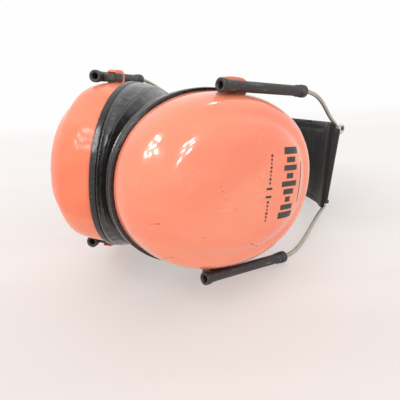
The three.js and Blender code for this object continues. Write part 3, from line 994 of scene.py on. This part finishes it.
def lining_point(angle, height):
    """A point of the lining. Past the hem's middle it turns round the roll."""
    past = (angle - HEM_ANGLE) * BAND_RADIUS
    if past <= 0:
        return band_point(angle, height)
    turn = past / -PAD_OVER_ROLL
    direction = math.cos(turn) * HEM_OUT - math.sin(turn) * HEM_PAST
    return np.array([HEM_X, HEM_Z]) + height * direction[[0, 2]]


def pad_solid():
    """The left half of the padded lining, filled by cloth simulation. It wraps the roll at the hem."""
    angles = np.linspace(0, HEM_ANGLE + PAD_OVERLAP / BAND_RADIUS, 72)
    count = 68
    turn = full_turn(count)
    across = np.sign(np.cos(turn)) * np.abs(np.cos(turn)) ** 0.55
    lift = np.sign(np.sin(turn)) * np.abs(np.sin(turn)) ** 0.7
    rows = []
    for angle in angles:
        to_end = (angles[-1] - angle) * BAND_RADIUS
        bottom = PAD_BOTTOM + 0.6 * ease(14, 6, to_end) + 0.5 * ease(1.2, 0, to_end)
        top = PAD_TOP + (PAD_OVER_ROLL - PAD_TOP) * ease(13, 8, to_end)
        width = (BAND_HALF_WIDTH - 0.5) * narrowing(angle) - 1.2 * ease(2.5, 0, to_end)
        for share, rise in zip(across, lift):
            x, z = lining_point(angle, (top + bottom + rise * (top - bottom)) / 2)
            rows.append((x, share * width, z))
    points = np.array(rows)
    faces = capped_faces(len(angles), count)
    column, row = np.arange(len(points)) % count, np.arange(len(points)) // count
    lower = column > count // 2
    held = np.flatnonzero(~lower | (row < 2) | (row > len(angles) - 18) | (np.abs(lift[column]) < 0.35))
    points = held_cloth(points, faces, held, 0.8)
    return flattened_hem(stitched(points, lower), faces)


def stitched(points, lower):
    """Presses a channel near each edge of the pad's lower face, with a soft fold near the hem."""
    x, y, z = points.T
    radial = unit(np.column_stack([x, np.zeros(len(x)), z - BAND_CENTRE_Z]))
    angle = np.arctan2(x, z - BAND_CENTRE_Z)
    width = (BAND_HALF_WIDTH - 0.5) * narrowing(angle)
    channel = 0.5 * np.exp(-((width - np.abs(y) - 3.8) / 0.9) ** 2)
    along = (HEM_ANGLE - angle) * BAND_RADIUS
    fold = 0.9 * np.exp(-((along - 21 + 0.55 * (y + 8)) / 1.8) ** 2) * ease(2, -14, y)
    dents = 0.12 * soft_noise(points, 40, 31) * ease(0, 10, x)
    shift = (channel + fold + dents) * ease(7, 12, along)
    return points + radial * (shift * lower)[:, None]


def at_front_corner(points):
    """Moves points (out of the band, to the rear, past the hem) to the front corner of the hem."""
    corner = np.array([HEM_X, -SLEEVE_HALF_LENGTH - 0.5, HEM_Z]) + 3.9 * HEM_OUT + 0.4 * HEM_PAST
    return corner + points @ np.array([HEM_OUT, [0, 1, 0], HEM_PAST])


def eyelet_solid():
    """The pale oval eyelet of the liner, broader on the side where it leaves the cover's front corner."""
    count, ring = 48, 14
    rows = []
    for turn in full_turn(count):
        for roll in full_turn(ring):
            swell = math.cos(roll)
            rows.append((math.cos(turn) * (1.45 + 0.65 * swell) - 0.4 * (1 + swell),
                         math.sin(turn) * (2.25 + 0.95 * swell) + 0.2 * (1 + swell), 0.8 * math.sin(roll)))
    return at_front_corner(np.array(rows)), grid_faces(count, ring, wrap_rows=True)


def hole_shade_solid():
    """A dark disc deep in the eyelet, put there as painted shade in the eyelet's hole."""
    count = 32
    turn = full_turn(count)
    rings = [np.column_stack([share * np.cos(turn), share * 1.6 * np.sin(turn), np.full(count, past)])
             for share, past in [(0, 0.1), (0.85, 0.15), (1, 0), (1, -0.4), (0, -0.4)]]
    return at_front_corner(np.concatenate(rings)), grid_faces(len(rings), count)


# ---- assembly ----

worn = worn_frame()
shell, mark, plate = shell_solid(), print_solid(), plate_solid()
cushion, absorber = cushion_solid(), absorber_solid()
wire, sleeve, eyelet, hole_shade = wire_solid(), sleeve_solid(), eyelet_solid(), hole_shade_solid()
cover, pad, leaf = flattened_hem(*ribbon(cover_path(), cover_section)), pad_solid(), leaf_solid()


def add_side(side, mirror, coral):
    """Every piece of one side of the muff."""
    places = {"cup": cup_frame(side), "tubes": tube_frame(side), "yoke": worn, "band_end": worn}

    def add(part, body, solid, material, nodes=(), sharp=35):
        nodes = [f"{side}_{node}" for node in nodes]
        add_piece(f"{side}_{part}", f"{side}_{body}", places[body], solid, material, nodes,
                  mirror, sharp)

    add("shell", "cup", shell, coral, ["cup_shell"], 60)
    for end in ENDS:
        add(f"{end}_lug", "cup", lug_solid(end), coral, (), 60)
        add(f"{end}_pin", "cup", pin_solid(end), wire_steel, [f"{end}_pivot_pin"])
        add(f"{end}_tube", "tubes", tube_solid(end), tube_black, [f"{end}_slider_tube"])
    add("print", "cup", mark, ink)
    add("plate", "cup", plate, plate_black, ["cushion_plate"])
    add("cushion", "cup", cushion, cushion_black, ["cushion_cover", "cushion_foam"], 80)
    add("absorber", "cup", absorber, foam_grey, ["sound_absorber"], 80)
    add("wire", "yoke", wire, wire_steel, ["wire_yoke"], 60)
    add("sleeve", "band_end", sleeve, tube_black, ["band_end_sleeve"])
    add("eyelet", "band_end", eyelet, liner, (), 80)
    # A dark disc as painted shade in the eyelet's hole.
    add("hole_shade", "band_end", hole_shade, tube_black)

    # The band is in two halves that meet over the crown.
    start = worn @ (Vector((mirror * 12, 0, CROWN_Z)) * MM)
    stop = worn @ (Vector((mirror * (HEM_X - 3), 0, HEM_Z + 4)) * MM)
    bend = (f"{side}_band_end", start, stop)
    for part, solid, material, slot, node, sharp in [
        ("cover", cover, band_black, "band_rubber", "headband_cover", 50),
        ("pad", pad, lining_black, "band_lining", "headband_pad", 60),
        ("leaf", leaf, wire_steel, "spring_steel", "headband_spring_leaf", 35),
    ]:
        add_piece(f"{side}_band_{part}", "headband", worn, solid, material, [node],
                  mirror, sharp, bend)


add_side("left", SIDES["left"], near_coral)
add_side("right", SIDES["right"], far_coral)

# ---- floor, light and camera ----

# FLOOR_FAR is lighter and cooler than FLOOR: painted light towards the table's far edge.
FLOOR = (0.40, 0.37, 0.355)
FLOOR_FAR = (0.42, 0.405, 0.40)
FLOOR_SIZE = 6
TABLE_EDGE = 0.235
EDGE_SOFTNESS = 0.045
BACKDROP = 0.99
ROOM_LIGHT = 1.0
LAMP_DISTANCE = 0.9
SOFT_SIZE = 0.33
PANE_SIZE = (0.09, 0.075)
PANE_SPREAD = 8
# Window panes: (columns, rows) from the middle of each window.
LEFT_PANES = [(-2.6, -1.2), (-1.1, -1.4), (0.4, -1.1), (-2.8, 0.1), (-1.2, -0.1), (0.5, 0.1), (2.1, -0.6),
              (-2.3, 1.3), (-0.6, 1.3), (1.2, 1.1)]
RIGHT_PANES = [(-0.9, -1.5), (0.7, -1.3), (-0.8, 0), (0.9, 0.1), (-0.9, 1.4), (0.6, 1.3)]
BACK_PANES = [(0, 0), (0.9, -0.4)]
CAMERA_AZIMUTH = math.radians(34.42)
CAMERA_ELEVATION = math.radians(25.18)
CAMERA_ROLL = math.radians(-3.55)
CAMERA_PLACE = Vector((0.1326, -0.2058, 0.1351))
CAMERA_LENS = 41.4


def floor_surface():
    """Pale table top that brightens into the white backdrop at its far, out-of-focus edge. Its tone is
    painted lighter towards the far edge, and it glows with that tone: painted light that lifts its shadows.
    """
    material, tree = new_surface("floor")
    place = add_node(tree, "TexCoord", {}).outputs["Object"]
    turned = mapped(tree, place, "Rotation", (0, 0, -CAMERA_AZIMUTH))
    depth = add_node(tree, "SeparateXYZ", {"Vector": turned}).outputs["Y"]
    streaks = add_node(tree, "TexNoise", {"Vector": mapped(tree, turned, "Scale", (2, 14, 1)), "Scale": 1,
                                          "Detail": 3}).outputs["Fac"]
    # Painted light: the tone is lighter and cooler towards the far edge.
    tone = mix(tree, fade(tree, depth, -0.12, 0.16), FLOOR, FLOOR_FAR)
    tone = mix(tree, fade(tree, streaks, 0.4, 0.7, 0, 0.05), tone, (0.8, 0.79, 0.78))
    # The table glows with its own tone: painted light that lifts the shadows on it.
    table = add_node(tree, "BsdfPrincipled", {
        "Base Color": tone, "Roughness": 0.5, "Specular IOR Level": 0.3,
        "Emission Color": tone, "Emission Strength": 1,
    })
    glow = add_node(tree, "Emission", {"Color": (1, 1, 1, 1), "Strength": BACKDROP})
    past_edge = fade(tree, depth, TABLE_EDGE - EDGE_SOFTNESS, TABLE_EDGE + EDGE_SOFTNESS)
    mixed = add_node(tree, "MixShader", {0: past_edge, 1: table.outputs[0], 2: glow.outputs[0]})
    add_node(tree, "OutputMaterial", {"Surface": mixed.outputs["Shader"]})
    return material


def add_floor():
    corners = [(-0.5, -0.5, 0), (0.5, -0.5, 0), (0.5, 0.5, 0), (-0.5, 0.5, 0)]
    floor = new_object("floor", new_mesh("floor", corners, [(0, 1, 2, 3)], FLOOR_SIZE))
    floor.data.materials.append(floor_surface())


def add_world():
    world = bpy.data.worlds.new("studio")
    world.use_nodes = True
    tree = world.node_tree
    seen = add_node(tree, "LightPath", {}).outputs["Is Camera Ray"]
    strength = fade(tree, seen, 0, 1, ROOM_LIGHT, BACKDROP)
    feed(tree, tree.nodes["Background"], {"Color": (1, 1, 1, 1), "Strength": strength})
    bpy.context.scene.world = world


def add_lamp(azimuth, elevation, width, height, radiance):
    """A rectangular lamp that faces the object from an azimuth and elevation in degrees."""
    light = bpy.data.lights.new("lamp", "AREA")
    light.shape = "RECTANGLE"
    light.size, light.size_y = width, height
    light.energy = radiance * math.pi * width * height
    lamp = new_object("lamp", light)
    a, e = math.radians(azimuth), math.radians(elevation)
    back = Vector((math.sin(a) * math.cos(e), -math.cos(a) * math.cos(e), math.sin(e)))
    lamp.location = Vector((0, 0, 0.05)) + back * LAMP_DISTANCE
    lamp.rotation_euler = back.to_track_quat("Z", "Y").to_euler()
    return lamp


def add_window(azimuth, elevation, panes, radiance):
    """Bright panes side by side. They are only seen in reflections; the soft lamps give the light."""
    for column, row in panes:
        pane = add_lamp(azimuth + column * PANE_SPREAD, elevation + row * PANE_SPREAD, *PANE_SIZE, radiance)
        pane.visible_diffuse = False


def add_soft_light(azimuth, elevation, radiance):
    soft = add_lamp(azimuth, elevation, SOFT_SIZE, SOFT_SIZE, radiance)
    soft.visible_glossy = False


def add_camera():
    camera = bpy.data.cameras.new("camera")
    camera.sensor_width = 36
    camera.lens = CAMERA_LENS
    camera.clip_start = 0.01
    holder = new_object("camera", camera)
    tilt = Matrix.Rotation(math.pi / 2 - CAMERA_ELEVATION, 4, "X")
    turn = Matrix.Rotation(CAMERA_AZIMUTH, 4, "Z") @ tilt @ Matrix.Rotation(CAMERA_ROLL, 4, "Z")
    holder.matrix_world = Matrix.Translation(CAMERA_PLACE) @ turn
    bpy.context.scene.camera = holder


add_floor()
add_world()
add_window(-8, 49, LEFT_PANES, 30)
add_window(64, 34, RIGHT_PANES, 28)
add_window(158, 62, BACK_PANES, 12)
add_soft_light(-20, 50, 4.5)
add_soft_light(64, 34, 1.5)
add_camera()
bpy.context.scene.view_settings.view_transform = "Standard"
